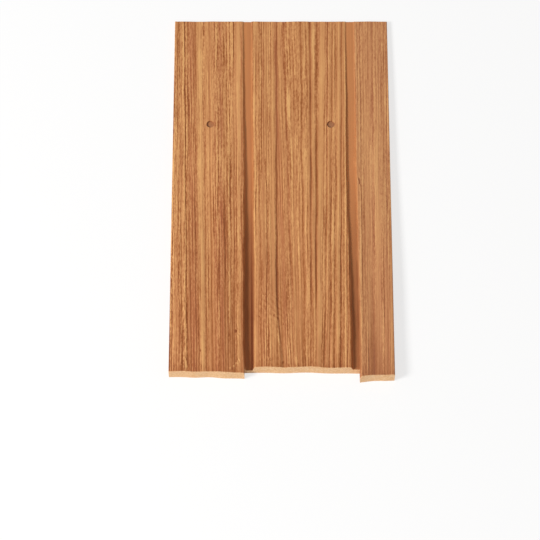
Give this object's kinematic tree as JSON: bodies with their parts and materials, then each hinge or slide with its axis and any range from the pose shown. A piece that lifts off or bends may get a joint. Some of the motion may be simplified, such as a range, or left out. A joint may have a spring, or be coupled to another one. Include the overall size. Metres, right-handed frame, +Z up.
{
  "type": "synthetic shake shingle",
  "caption": "Tapered moulded roof tile that looks like hand-split wood shakes side by side with keyways between them, hollow and ribbed underneath.",
  "frame": {"origin": "bottom centre of the tile's bounding box, on the plane of its flat underside", "axes": "+Y from the thick butt to the thin head, +Z up out of the split face, +X across the width with the narrow plank at the +X side"},
  "size_m": [0.305, 0.559, 0.0217],
  "materials": {
    "moulded_shake": "matt filled polymer, moulded split-wood grain, cedar brown with darker keyways and paler butts"
  },
  "bodies": {
    "root": {"shake_shingle": "moulded_shake"}
  },
  "joints": []
}
